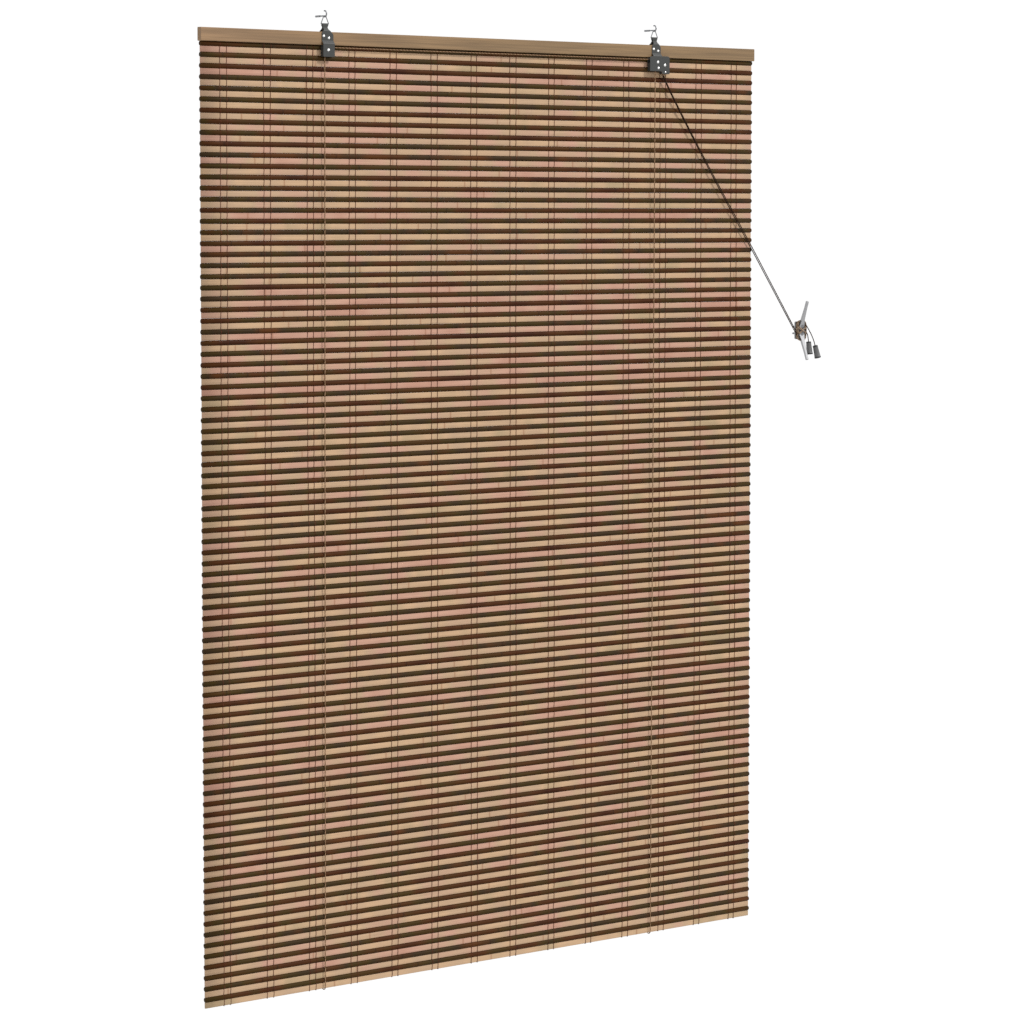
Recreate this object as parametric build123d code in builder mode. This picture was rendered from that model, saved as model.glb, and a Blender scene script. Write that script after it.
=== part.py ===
"""Bamboo roll-up blind: woven slats and rods under a wooden headrail, hung by two folded pulley brackets from
screw hooks, raised by two lift cords that run over the pulleys to a cleat on the wall.

Millimetres. X runs along the blind's width, -Y into the room, +Z up. The origin is on the wall's surface, midway
between the two screw hooks, at the height of their shanks. "Depth" is the distance in front of the hanging plane,
the upright plane through the hooks' seats and the middle of the headrail.
"""

import os
from math import asin, atan2, cos, degrees, hypot, radians, sin, tan

from build123d import *

# ---- Overall sizes
WIDTH = 1200.0  # length of a slat
HEIGHT = 1600.0  # headrail top to the lowest slat's bottom edge
ROWS = 88  # pairs of one rod and one slat
CURLING_ROWS = 5  # lowest rows that are bodies of their own
HOOK_SPACING = 720.0
PANEL_SHIFT = -5.0  # how far the woven panel sits off the hooks' middle

# ---- Hanging
HANG = 13.0  # wall surface to the hanging plane
RAIL_TOP = -26.5  # headrail top, below the hook shanks
RAIL_HEIGHT = 22.0
RAIL_THICK = 10.5
RAIL_OVERHANG = 2.5  # past the slats, at each end
RAIL_EDGE = 0.8  # chamfer

# ---- Weave
SLAT_HEIGHT = 10.3
SLAT_THICK = 2.7
SLAT_EDGE = 0.5
ROD_DIAMETER = 7.4
PANEL_DEPTH = -1.5  # middle of slats and rods
WARP_PAIRS = 14
WARP_EDGE = 43.0  # from the panel's side to the middle of the nearest pair
WARP_GAP = 13.0  # between the two threads of a pair
THREAD_WIDE = 0.9
THREAD_THICK = 0.45
THREAD_LIFT = 1.0  # front threads end this far above the first curling row
THREAD_TOP = 12.5  # how far the rear threads climb behind the headrail
STAPLE_CROWN = 4.6
STAPLE_LEG = 4.0
STAPLE_WIRE = 0.6

# ---- Hooks and rings
HOOK_WIRE = 1.2  # radius
HOOK_BEND = 5.0
HOOK_SHOULDER = 4.0
HOOK_DIP = 35.0  # degrees that the shank dips before the hook's bend
HOOK_SWEEP = 230.0
HOOK_THREAD = 1.7  # radius
HOOK_THREAD_LENGTH = 15.0
RING_WIRE = 0.8
RING_HALF = 8.2
RING_SLOPE = 24.0  # degrees between a side and the upright
RING_TOP_BEND = 2.6
RING_CORNER = 1.45
RING_GAP = 0.15

# ---- Brackets
SHEET = 1.0
FOLD_HALF = 5.8
NECK_HALF = 4.5
PLATE_LEFT = -10.0  # left bracket's front leg, from its hook
PLATE_RIGHT = 13.0
PLATE_DROP = 41.2  # below the headrail top
LOCK_UPPER_HALF = 10.0
LOCK_LEFT = -18.0
LOCK_RIGHT = 27.8
LOCK_TOP = 19.6
LOCK_DROP = 46.3
LOBE_DROP = 51.0
LOBE_LEFT = 11.0
REAR_LEG_HALF = 7.5
REAR_LEG_DROP = 18.5
WHEEL_ROOM = 9.1  # depth of the front leg's inner face at the wheels
BACK_PLATE = 2.75  # depth of the wheel plate's rear face
BACK_SHEET = 0.7
UNDER_RAIL = 0.8  # gap between the headrail and a wheel plate

# ---- Rivets and axles
RIVET = 1.5  # shank radius
RIVET_FIT = 0.05
RIVET_HEAD = 2.4
RIVET_DOME = 1.6
RIVET_TAIL = 0.8
RIVETS = ((-6.2, 7.0), (4.0, 10.2))  # offset from the hook, drop below the headrail top
AXLE_HEAD = 2.7
AXLE_DOME = 1.8
AXLE_OFFSET = 0.5  # wheel axle, from the hook
AXLE_DROP = 30.0
GUIDE_AT = (17.0, 35.1)  # guide wheel's axle: offset from the hook, drop below the headrail top
LOCK_AT = (1.7, 40.5)
LOCK_TRAVEL = 2.9
STAY_AT = (18.5, 47.5)
STAY = 1.2
LOCK_PIN = 1.2

# ---- Wheels
CORD = 1.0  # cord radius
CORD_PITCH = 4.3  # radius of the cord's middle round a wheel
CORD_GAP = 0.2
WHEEL_RIM = 5.6
WHEEL_SIDE = 0.15  # to each plate
FLANGE = 0.45
CORD_SPACING = 2.2
GUIDE_RIM = 7.0
LOCK_RIM = 3.2
KNURLS = 14

# ---- Lift cords
LIFT_TO_LEFT = 3.7  # the strands drift this far left on their way down
STRAND_FRONT = 3.5  # depth at the bottom
STRAND_BACK = -6.5
BACK_LEAN = 5.5
U_RISE = 3.4
STRAND_STUB = 14.0  # front cord that stays with the lowest row
KNOT = 2.6

# ---- Cleat
CLEAT_X = 726.0
CLEAT_Z = -543.5
CLEAT_HALF = 6.0
CLEAT_SCREW = 2.0
CLEAT_SCREW_OUT = 6.0
SCREW_LENGTH = 16.0
SCREW_THREAD = 1.8  # radius inside the wall
SCREW_HEAD = 3.9
SCREW_FIT = 0.1
WIND_X = 14.0
WIND_Z = 20.0
WIND_FIT = 0.4

# ---- Cord ends
END_TOP = 4.7
END_BOTTOM = 6.0
END_LENGTH = 24.0
END_WALL = 1.6

# ---- Worked out from these
PANEL_LEFT = PANEL_SHIFT - WIDTH / 2
RAIL_BOTTOM = RAIL_TOP - RAIL_HEIGHT
BOTTOM = RAIL_TOP - HEIGHT
PITCH = (HEIGHT - RAIL_HEIGHT) / ROWS
ROW_GAP = (PITCH - SLAT_HEIGHT - ROD_DIAMETER) / 2
UPPER_ROWS = ROWS - CURLING_ROWS
UPPER_BOTTOM = RAIL_BOTTOM - UPPER_ROWS * PITCH
ROD_FRONT = PANEL_DEPTH + ROD_DIAMETER / 2
RAIL_FACE = RAIL_THICK / 2
HOOKS = {"left": -HOOK_SPACING / 2, "right": HOOK_SPACING / 2}
WARP_STEP = (WIDTH - 2 * WARP_EDGE) / (WARP_PAIRS - 1)
WARPS = [
    PANEL_LEFT + WARP_EDGE + pair * WARP_STEP + side * WARP_GAP / 2
    for pair in range(WARP_PAIRS)
    for side in (-1, 1)
]

# The shank dips by a short bend and then turns up into the hook: how far that carries it down and forward.
DIP_DOWN = (HOOK_SHOULDER + HOOK_BEND) * (1 - cos(radians(HOOK_DIP)))
DIP_ALONG = (HOOK_SHOULDER + HOOK_BEND) * sin(radians(HOOK_DIP))
RING_TOP = -DIP_DOWN + HOOK_WIRE + RING_GAP + RING_WIRE
RING_BASE = RING_TOP + RING_TOP_BEND * (1 / sin(radians(RING_SLOPE)) - 1) - RING_HALF / tan(radians(RING_SLOPE))

CORD_REAR = BACK_PLATE + BACK_SHEET + WHEEL_SIDE + FLANGE + CORD_GAP / 2 + CORD
CORD_FRONT = CORD_REAR + CORD_SPACING
WHEEL_Z = RAIL_TOP - AXLE_DROP


def at(depth):
    """Y of a depth in front of the hanging plane."""
    return -(HANG + depth)


def face_plane(depth):
    """Upright plane at a depth, with X to the right and Z up, that extrudes into the room."""
    return Plane.XZ.offset(HANG + depth)


def wheel_x(side):
    return HOOKS[side] + AXLE_OFFSET


def save(made, name):
    made.part.label = name
    export_step(made.part, f"parts/{name}.step")


def row_parts(top, count):
    """Slats, rods and their heights for so many rows below a height."""
    rods = [top - row * PITCH - ROW_GAP - ROD_DIAMETER / 2 for row in range(count)]
    slats = [top - (row + 1) * PITCH + SLAT_HEIGHT / 2 for row in range(count)]
    return slats, rods


def make_slats(heights):
    with BuildPart() as slats:
        with BuildSketch(Plane.YZ.offset(PANEL_LEFT)):
            with Locations([(at(PANEL_DEPTH), height) for height in heights]):
                RectangleRounded(SLAT_THICK, SLAT_HEIGHT, SLAT_EDGE)
        extrude(amount=WIDTH)
    return slats


def make_rods(heights):
    with BuildPart() as rods:
        with BuildSketch(Plane.YZ.offset(PANEL_LEFT)):
            with Locations([(at(PANEL_DEPTH), height) for height in heights]):
                Circle(ROD_DIAMETER / 2)
        extrude(amount=WIDTH)
    return rods


def make_threads(bottom, top, rear_top, lift=0.0):
    """Front and rear warp threads up to a front and a rear height; the front ones start a little higher."""
    front = at(ROD_FRONT + THREAD_THICK / 2)
    rear = at(-RAIL_FACE - THREAD_THICK / 2)
    with BuildPart() as threads:
        for depth, start, height in ((front, bottom + lift, top), (rear, bottom, rear_top)):
            with BuildSketch(Plane.XY.offset(start)):
                with Locations([(x, depth) for x in WARPS]):
                    Rectangle(THREAD_WIDE, THREAD_THICK)
            extrude(amount=height - start)
    return threads


# ---- Woven panel
os.makedirs("parts", exist_ok=True)
slat_heights, rod_heights = row_parts(RAIL_BOTTOM, UPPER_ROWS)
save(make_slats(slat_heights), "upper_slats")
save(make_rods(rod_heights), "upper_rods")
save(make_threads(UPPER_BOTTOM, RAIL_BOTTOM, RAIL_BOTTOM + THREAD_TOP, THREAD_LIFT), "upper_threads")


# ---- Staples behind the headrail: one over each warp thread, one over each lift cord
def back_strand_top(side):
    return wheel_x(side) - CORD_PITCH - LIFT_TO_LEFT - BACK_LEAN


STAPLE_Z = RAIL_BOTTOM + 7.5
CORD_STAPLE = 2 * (CORD + 0.1) + 2 * STAPLE_WIRE
staple_places = [(x, STAPLE_CROWN, THREAD_THICK + 0.05) for x in WARPS]
cord_reach = RAIL_FACE + STRAND_BACK
staple_places += [(back_strand_top(side), CORD_STAPLE, CORD - cord_reach + 0.1) for side in HOOKS]

with BuildPart() as staples:
    for x, crown, stand in staple_places:
        with BuildSketch(Plane.XZ.offset(HANG - RAIL_FACE - stand - STAPLE_WIRE)):
            with Locations((x, STAPLE_Z)):
                Rectangle(crown, STAPLE_WIRE)
        extrude(amount=STAPLE_WIRE)
        with BuildSketch(Plane.XZ.offset(HANG - RAIL_FACE - stand)):
            for hand in (-1, 1):
                with Locations((x + hand * (crown - STAPLE_WIRE) / 2, STAPLE_Z)):
                    Rectangle(STAPLE_WIRE, STAPLE_WIRE)
        extrude(amount=stand + STAPLE_LEG)
save(staples, "staples")

# ---- Headrail, drilled for the rivets and pierced by the staples
with BuildPart() as headrail:
    with BuildSketch(Plane.YZ.offset(PANEL_LEFT - RAIL_OVERHANG)):
        with Locations((at(0), RAIL_TOP - RAIL_HEIGHT / 2)):
            Rectangle(RAIL_THICK, RAIL_HEIGHT)
    extrude(amount=WIDTH + 2 * RAIL_OVERHANG)
    chamfer(headrail.edges().filter_by(Axis.X), RAIL_EDGE)
    with BuildSketch(face_plane(-RAIL_FACE)):
        for hook_x in HOOKS.values():
            with Locations([(hook_x + offset, RAIL_TOP - drop) for offset, drop in RIVETS]):
                Circle(RIVET + RIVET_FIT)
    extrude(amount=RAIL_THICK, mode=Mode.SUBTRACT)
    add(staples.part, mode=Mode.SUBTRACT)
save(headrail, "headrail")


# ---- Screw hooks
def make_hook(x):
    straight_end = -HANG + DIP_ALONG
    with BuildPart() as hook:
        with BuildLine(Plane.YZ.offset(x)) as path:
            shank = Line((0, 0), (straight_end, 0))
            dip = JernArc(shank @ 1, shank % 1, HOOK_SHOULDER, HOOK_DIP)
            JernArc(dip @ 1, dip % 1, HOOK_BEND, -HOOK_SWEEP)
        with BuildSketch(Plane(origin=(x, 0, 0), z_dir=(0, -1, 0))):
            Circle(HOOK_WIRE)
        sweep(path=path.line)
        with BuildSketch(Plane(origin=(x, 0, 0), z_dir=(0, 1, 0))):
            Circle(HOOK_THREAD)
        extrude(amount=HOOK_THREAD_LENGTH)
        chamfer(hook.faces().sort_by(Axis.Y)[-1].edges(), 2.6, 1.5)
    return hook


# ---- Wire rings
def make_ring(x):
    peak = RING_BASE + RING_HALF / tan(radians(RING_SLOPE))
    corners = [(x, peak), (x + RING_HALF, RING_BASE), (x - RING_HALF, RING_BASE)]
    with BuildPart() as ring:
        with BuildLine(face_plane(0)) as loop:
            FilletPolyline(*corners, radius=[RING_TOP_BEND, RING_CORNER, RING_CORNER], close=True)
        with BuildSketch(Plane(origin=(x, at(0), RING_BASE), z_dir=(1, 0, 0))):
            Circle(RING_WIRE)
        sweep(path=Wire(loop.edges()))
    return ring


for side, hook_x in HOOKS.items():
    save(make_hook(hook_x), f"{side}_hook")
    save(make_ring(hook_x), f"{side}_ring")

# ---- Brackets: one folded strap each, over the ring's base and down both sides of the headrail
FOLD = RING_WIRE + RING_GAP
NECK_Z = RAIL_TOP + 6.5
SPREAD_Z = RAIL_TOP + 1.5


def strap_side():
    """Inner face of the strap, seen from the side, from the front leg's foot over the ring to the rear leg's foot."""
    foot = RAIL_TOP - LOBE_DROP - 5
    corners = [
        (at(WHEEL_ROOM), foot),
        (at(WHEEL_ROOM), RAIL_TOP - LOCK_TOP),
        (at(RAIL_FACE), RAIL_TOP - LOCK_TOP + 4.5),
        (at(RAIL_FACE), SPREAD_Z),
        (at(FOLD), NECK_Z),
        (at(FOLD), RING_BASE + FOLD),
        (at(-FOLD), RING_BASE + FOLD),
        (at(-FOLD), NECK_Z),
        (at(-RAIL_FACE), SPREAD_Z),
        (at(-RAIL_FACE), foot),
    ]
    return corners, [2.0, 2.0, 1.5, 1.5, FOLD * 0.99, FOLD * 0.99, 1.5, 1.5]


def neck(hook_x, half_left, half_right, shoulder_left, shoulder_right):
    """The outline's two sides from the shoulders up to the fold: left side upwards, then right side downwards."""
    top = RING_BASE + FOLD + SHEET + 1
    left = [(-half_left, RAIL_TOP - shoulder_left), (-NECK_HALF, RAIL_TOP + 4), (-NECK_HALF, RAIL_TOP + 8)]
    left += [(-FOLD_HALF, RING_BASE - 2), (-FOLD_HALF, top)]
    right = [(FOLD_HALF, top), (FOLD_HALF, RING_BASE - 2), (NECK_HALF, RAIL_TOP + 8), (NECK_HALF, RAIL_TOP + 4)]
    right += [(half_right, RAIL_TOP - shoulder_right)]
    return [(hook_x + x, z) for x, z in left], [(hook_x + x, z) for x, z in right]


def left_outline(hook_x):
    left, right = neck(hook_x, -PLATE_LEFT, PLATE_RIGHT, 2.0, 4.5)
    foot = RAIL_TOP - PLATE_DROP
    return left + right + [(hook_x + PLATE_RIGHT, foot), (hook_x + PLATE_LEFT, foot)]


def lock_lower():
    """Lower part of the lock plate's outline, clockwise from its upper left corner, from the hook."""
    return [
        (LOCK_RIGHT - 3.5, RAIL_TOP - LOCK_TOP),
        (LOCK_RIGHT - 1.0, RAIL_TOP - LOCK_TOP - 1.0),
        (LOCK_RIGHT, RAIL_TOP - LOCK_TOP - 3.5),
        (LOCK_RIGHT, RAIL_TOP - LOBE_DROP),
        (LOBE_LEFT, RAIL_TOP - LOBE_DROP),
        (LOBE_LEFT - 2, RAIL_TOP - LOCK_DROP),
        (LOCK_LEFT, RAIL_TOP - LOCK_DROP),
        (LOCK_LEFT, RAIL_TOP - LOCK_TOP - 1.5),
    ]


def lock_outline(hook_x):
    left, right = neck(hook_x, LOCK_UPPER_HALF, LOCK_UPPER_HALF, 2.0, 3.5)
    lower = [(LOCK_UPPER_HALF, RAIL_TOP - LOCK_TOP)] + lock_lower() + [(-LOCK_UPPER_HALF, RAIL_TOP - LOCK_TOP)]
    return left + right + [(hook_x + x, z) for x, z in lower]


def rear_outline(hook_x):
    left, right = neck(hook_x, REAR_LEG_HALF, REAR_LEG_HALF, 1.0, 1.0)
    foot = RAIL_TOP - REAR_LEG_DROP
    return left + right + [(hook_x + REAR_LEG_HALF, foot), (hook_x - REAR_LEG_HALF, foot)]


def make_leg(hook_x, outline, depth_from, depth_to, holes, slot):
    """One leg of the strap: its side view, cut to its outline seen from the room, and drilled."""
    corners, bends = strap_side()
    with BuildPart() as leg:
        with BuildSketch(Plane.YZ.offset(hook_x - 40)):
            with BuildLine():
                FilletPolyline(*corners, radius=bends)
                offset(amount=SHEET, side=Side.LEFT)
            make_face()
        extrude(amount=80)
        with BuildSketch(face_plane(depth_from)) as seen:
            with BuildLine():
                Polyline(*outline, close=True)
            make_face()
            fillet(seen.vertices().group_by(Axis.Y)[0], 1.2)
        extrude(amount=depth_to - depth_from, mode=Mode.INTERSECT)
        with BuildSketch(face_plane(depth_from)):
            for x, z, radius in holes:
                with Locations((x, z)):
                    Circle(radius)
            if slot:
                middle, turn = slot
                with Locations(middle):
                    SlotCenterToCenter(LOCK_TRAVEL, 2 * (LOCK_PIN + RIVET_FIT), rotation=turn)
        extrude(amount=depth_to - depth_from, mode=Mode.SUBTRACT)
    return leg


def rivet_holes(hook_x):
    return [(hook_x + offset, RAIL_TOP - drop, RIVET + RIVET_FIT) for offset, drop in RIVETS]


def make_bracket(hook_x, outline, holes, slot):
    front = make_leg(hook_x, outline, 0, WHEEL_ROOM + SHEET + 2, rivet_holes(hook_x) + holes, slot)
    rear = make_leg(hook_x, rear_outline(hook_x), -RAIL_FACE - SHEET - 2, 0, rivet_holes(hook_x), None)
    with BuildPart() as bracket:
        add(front.part)
        add(rear.part)
    return bracket


# ---- The lock's geometry: the cords leave the wheel towards a point below and run past the lock roller
right_x = HOOKS["right"]
CORD_TOWARDS = (384.0, -97.0)
lead = (CORD_TOWARDS[0] - wheel_x("right"), CORD_TOWARDS[1] - WHEEL_Z)
LEAD_ANGLE = degrees(atan2(lead[1], lead[0])) - degrees(asin(CORD_PITCH / hypot(*lead)))
leave_angle = LEAD_ANGLE + 90
CORD_LEAVES = (
    wheel_x("right") + CORD_PITCH * cos(radians(leave_angle)),
    WHEEL_Z + CORD_PITCH * sin(radians(leave_angle)),
)
lock_dir = (cos(radians(leave_angle)), sin(radians(leave_angle)))
lock_pin_at = (right_x + LOCK_AT[0], RAIL_TOP - LOCK_AT[1])
slot_middle = tuple(lock_pin_at[i] + lock_dir[i] * LOCK_TRAVEL / 2 for i in (0, 1))
lock_slot = (slot_middle, leave_angle)
guide_at = (right_x + GUIDE_AT[0], RAIL_TOP - GUIDE_AT[1])
stay_at = (right_x + STAY_AT[0], RAIL_TOP - STAY_AT[1])

axle_hole = RIVET + RIVET_FIT
left_holes = [(wheel_x("left"), WHEEL_Z, axle_hole)]
right_holes = [(wheel_x("right"), WHEEL_Z, axle_hole), (*guide_at, axle_hole), (*stay_at, STAY + RIVET_FIT)]
save(make_bracket(HOOKS["left"], left_outline(HOOKS["left"]), left_holes, None), "left_bracket")
save(make_bracket(right_x, lock_outline(right_x), right_holes, lock_slot), "right_bracket")


# ---- Wheel plates: the inner cheek of each pulley, with side walls that reach the bracket
def make_wheel_plate(outline, walls, holes, slot):
    with BuildPart() as plate:
        with BuildSketch(face_plane(BACK_PLATE)):
            with BuildLine():
                Polyline(*outline, close=True)
            make_face()
        extrude(amount=BACK_SHEET)
        with BuildSketch(face_plane(BACK_PLATE + BACK_SHEET)):
            for x, bottom, top in walls:
                with Locations((x, (bottom + top) / 2)):
                    Rectangle(BACK_SHEET, top - bottom)
        extrude(amount=WHEEL_ROOM - BACK_PLATE - BACK_SHEET)
        with BuildSketch(face_plane(BACK_PLATE)):
            for x, z, radius in holes:
                with Locations((x, z)):
                    Circle(radius)
            if slot:
                middle, turn = slot
                with Locations(middle):
                    SlotCenterToCenter(LOCK_TRAVEL, 2 * (LOCK_PIN + RIVET_FIT), rotation=turn)
        extrude(amount=BACK_SHEET, mode=Mode.SUBTRACT)
    return plate


plate_top = RAIL_BOTTOM - UNDER_RAIL
left_x = HOOKS["left"]
left_foot = RAIL_TOP - PLATE_DROP
left_plate = [(left_x + PLATE_LEFT, plate_top), (left_x + PLATE_RIGHT, plate_top)]
left_plate += [(left_x + PLATE_RIGHT, left_foot), (left_x + PLATE_LEFT, left_foot)]
left_walls = [(left_x + PLATE_LEFT + BACK_SHEET / 2, left_foot, plate_top)]
save(make_wheel_plate(left_plate, left_walls, left_holes, None), "left_wheel_plate")

right_plate = [(right_x + x, min(z, plate_top)) for x, z in lock_lower() if x != LOCK_RIGHT - 1.0]
right_walls = [
    (right_x + LOCK_LEFT + BACK_SHEET / 2, RAIL_TOP - LOCK_DROP, WHEEL_Z - 1.5),
    (right_x + LOCK_RIGHT - BACK_SHEET / 2, RAIL_TOP - LOBE_DROP, plate_top),
]
save(make_wheel_plate(right_plate, right_walls, right_holes, lock_slot), "right_wheel_plate")


# ---- Rivets and axles: straight shanks with a domed head in front
def make_pins(pins):
    """Pins from (x, z, start depth, end depth, shank radius, head radius, dome height, tail height)."""
    with BuildPart() as made:
        for x, z, start, end, radius, head, dome, tail in pins:
            with BuildSketch(Plane(origin=(x, at(0), z), x_dir=(0, -1, 0), z_dir=(1, 0, 0))):
                with BuildLine():
                    if tail:
                        Polyline((start, 0), (start - tail, 0), (start - tail, head), (start, head), (start, radius))
                    else:
                        Line((start, 0), (start, radius))
                    Line((start, radius), (end, radius))
                    Line((end, radius), (end, head))
                    ball = (head**2 + dome**2) / (2 * dome)
                    edge_angle = degrees(atan2(head, ball - dome))
                    CenterArc((end + dome - ball, 0), ball, edge_angle, -edge_angle)
                    Line((end + dome, 0), (start, 0))
                make_face()
            revolve(axis=Axis((x, 0, z), (0, 1, 0)))
    return made


FACE = WHEEL_ROOM + SHEET
RAIL_BACK = -RAIL_FACE - SHEET
for side, hook_x in HOOKS.items():
    rivets = [
        (hook_x + offset, RAIL_TOP - drop, RAIL_BACK, RAIL_FACE + SHEET, RIVET, RIVET_HEAD, RIVET_DOME, RIVET_TAIL)
        for offset, drop in RIVETS
    ]
    save(make_pins(rivets), f"{side}_rivets")

left_pins = [(wheel_x("left"), WHEEL_Z, BACK_PLATE, FACE, RIVET, AXLE_HEAD, AXLE_DOME, 0)]
right_pins = [
    (wheel_x("right"), WHEEL_Z, BACK_PLATE, FACE, RIVET, AXLE_HEAD, AXLE_DOME, 0),
    (*guide_at, BACK_PLATE, FACE, RIVET, AXLE_HEAD, AXLE_DOME, 0),
    (*stay_at, BACK_PLATE, FACE, STAY, STAY + 0.4, 0.9, 0),
]
lock_pins = [(*lock_pin_at, BACK_PLATE, FACE + 0.1, LOCK_PIN, AXLE_HEAD - 0.2, AXLE_DOME, 0)]
save(make_pins(left_pins), "left_axle")
save(make_pins(right_pins), "right_axles")
save(make_pins(lock_pins), "lock_axle")

# ---- Wheels
WHEEL_FROM = BACK_PLATE + BACK_SHEET + WHEEL_SIDE
WHEEL_TO = WHEEL_ROOM - WHEEL_SIDE


def make_wheel(x, z):
    """Pulley wheel with one wide trough for two cords side by side."""
    bore = RIVET + RIVET_FIT
    trough = CORD_PITCH - CORD - CORD_GAP
    with BuildPart() as wheel:
        with BuildSketch(Plane(origin=(x, at(0), z), x_dir=(0, -1, 0), z_dir=(1, 0, 0))):
            with BuildLine():
                Polyline(
                    (WHEEL_FROM, bore),
                    (WHEEL_FROM, WHEEL_RIM),
                    (WHEEL_FROM + FLANGE, WHEEL_RIM),
                    (WHEEL_FROM + FLANGE, trough),
                    (WHEEL_TO - FLANGE, trough),
                    (WHEEL_TO - FLANGE, WHEEL_RIM),
                    (WHEEL_TO, WHEEL_RIM),
                    (WHEEL_TO, bore),
                    close=True,
                )
            make_face()
        revolve(axis=Axis((x, 0, z), (0, 1, 0)))
    return wheel


def make_roller(x, z, rim, bore, knurls):
    with BuildPart() as roller:
        with BuildSketch(face_plane(WHEEL_FROM)):
            with Locations((x, z)):
                Circle(rim)
                if knurls:
                    with PolarLocations(rim, knurls):
                        Circle(0.35, mode=Mode.SUBTRACT)
                Circle(bore, mode=Mode.SUBTRACT)
        extrude(amount=WHEEL_TO - WHEEL_FROM)
        if not knurls:
            chamfer(roller.edges().filter_by(GeomType.CIRCLE).filter_by(lambda edge: edge.radius > bore + 1), 0.5)
    return roller


save(make_wheel(wheel_x("left"), WHEEL_Z), "left_wheel")
save(make_wheel(wheel_x("right"), WHEEL_Z), "right_wheel")
save(make_roller(*guide_at, GUIDE_RIM, RIVET + RIVET_FIT, 0), "guide_wheel")
save(make_roller(*lock_pin_at, LOCK_RIM, LOCK_PIN + RIVET_FIT, KNURLS), "lock_roller")


# ---- Cords
def section(path):
    """Plane across a path at its start."""
    return Plane(origin=path @ 0, z_dir=path % 0)


def make_straight(start, end, radius):
    run = Vector(*end) - Vector(*start)
    with BuildPart() as tube:
        with BuildSketch(Plane(origin=start, z_dir=run)):
            Circle(radius)
        extrude(amount=run.length)
    return tube


def bend_radii(points):
    """Each corner's arc: 0.45 of the shorter run over the tangent of half the turn."""
    radii = []
    for before, corner, after in zip(points, points[1:], points[2:]):
        one = Vector(*corner) - Vector(*before)
        two = Vector(*after) - Vector(*corner)
        turn = radians(one.get_angle(two))
        radii.append(0.45 * min(one.length, two.length) / tan(turn / 2))
    return radii


def make_tube(name, points, radius):
    radii = bend_radii(points)
    print(name, "bend radii", [round(r, 1) for r in radii])
    with BuildPart() as tube:
        with BuildLine() as route:
            FilletPolyline(*points, radius=radii)
        path = Wire(route.edges())
        with BuildSketch(section(path)):
            Circle(radius)
        sweep(path=path)
    print(name, "length", round(path.length, 1), "volume ratio", round(tube.part.volume / path.length / 3.14159, 3))
    return tube


CORD_EXIT_Z = RAIL_TOP - LOBE_DROP - 2.5
run_down = (CORD_LEAVES[1] - CORD_EXIT_Z) / tan(radians(-LEAD_ANGLE))
CORD_EXIT = (CORD_LEAVES[0] + run_down, CORD_EXIT_Z)
over_top = 90 - leave_angle

with BuildPart() as crossing_cord:
    with BuildLine(face_plane(CORD_REAR)) as route:
        CenterArc((wheel_x("left"), WHEEL_Z), CORD_PITCH, 180, -90)
        Line((wheel_x("left"), WHEEL_Z + CORD_PITCH), (wheel_x("right"), WHEEL_Z + CORD_PITCH))
        CenterArc((wheel_x("right"), WHEEL_Z), CORD_PITCH, 90, -over_top)
        Line(CORD_LEAVES, CORD_EXIT)
    with BuildSketch(Plane(origin=(wheel_x("left") - CORD_PITCH, at(CORD_REAR), WHEEL_Z), z_dir=(0, 0, 1))):
        Circle(CORD)
    sweep(path=Wire(route.edges()))
save(crossing_cord, "crossing_cord")

with BuildPart() as lock_cord:
    with BuildLine(face_plane(CORD_FRONT)) as route:
        CenterArc((wheel_x("right"), WHEEL_Z), CORD_PITCH, 180, -90 - over_top)
        Line(CORD_LEAVES, CORD_EXIT)
    with BuildSketch(Plane(origin=(wheel_x("right") - CORD_PITCH, at(CORD_FRONT), WHEEL_Z), z_dir=(0, 0, 1))):
        Circle(CORD)
    sweep(path=Wire(route.edges()))
save(lock_cord, "lock_cord")

for side, top_depth in (("left", CORD_REAR), ("right", CORD_FRONT)):
    strand_x = wheel_x(side) - CORD_PITCH
    low_x = strand_x - LIFT_TO_LEFT
    low = (low_x, at(STRAND_FRONT), BOTTOM + STRAND_STUB)
    save(make_straight((strand_x, at(top_depth), WHEEL_Z), low, CORD), f"{side}_front_cord")
    knot_z = RAIL_TOP - 7
    with BuildPart() as back_cord:
        start = (low_x, at(STRAND_BACK), UPPER_BOTTOM)
        end = (back_strand_top(side), at(STRAND_BACK), knot_z)
        add(make_straight(start, end, CORD).part)
        with Locations((end[0], at(-RAIL_FACE - KNOT - 0.1), knot_z)):
            Sphere(KNOT)
    save(back_cord, f"{side}_back_cord")

# ---- The curling rows, each with its slat, rod, threads and two bits of lift cord
for row in range(1, CURLING_ROWS + 1):
    top = UPPER_BOTTOM - (row - 1) * PITCH
    foot = top - PITCH
    slat_heights, rod_heights = row_parts(top, 1)
    save(make_slats(slat_heights), f"row_{row}_slat")
    save(make_rods(rod_heights), f"row_{row}_rod")
    save(make_threads(foot, top, top), f"row_{row}_threads")
    with BuildPart() as row_cords:
        for side in HOOKS:
            x = wheel_x(side) - CORD_PITCH - LIFT_TO_LEFT
            if row < CURLING_ROWS:
                add(make_straight((x, at(STRAND_BACK), foot), (x, at(STRAND_BACK), top), CORD).part)
            else:
                turn = (STRAND_FRONT - STRAND_BACK) / 2
                middle = (at((STRAND_FRONT + STRAND_BACK) / 2), BOTTOM + U_RISE)
                with BuildLine(Plane.YZ.offset(x)) as route:
                    Line((at(STRAND_BACK), top), (at(STRAND_BACK), middle[1]))
                    CenterArc(middle, turn, 0, -180)
                    Line((at(STRAND_FRONT), middle[1]), (at(STRAND_FRONT), BOTTOM + STRAND_STUB))
                with BuildSketch(Plane(origin=(x, at(STRAND_BACK), top), z_dir=(0, 0, -1))):
                    Circle(CORD)
                sweep(path=Wire(route.edges()))
    save(row_cords, f"row_{row}_cords")

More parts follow.
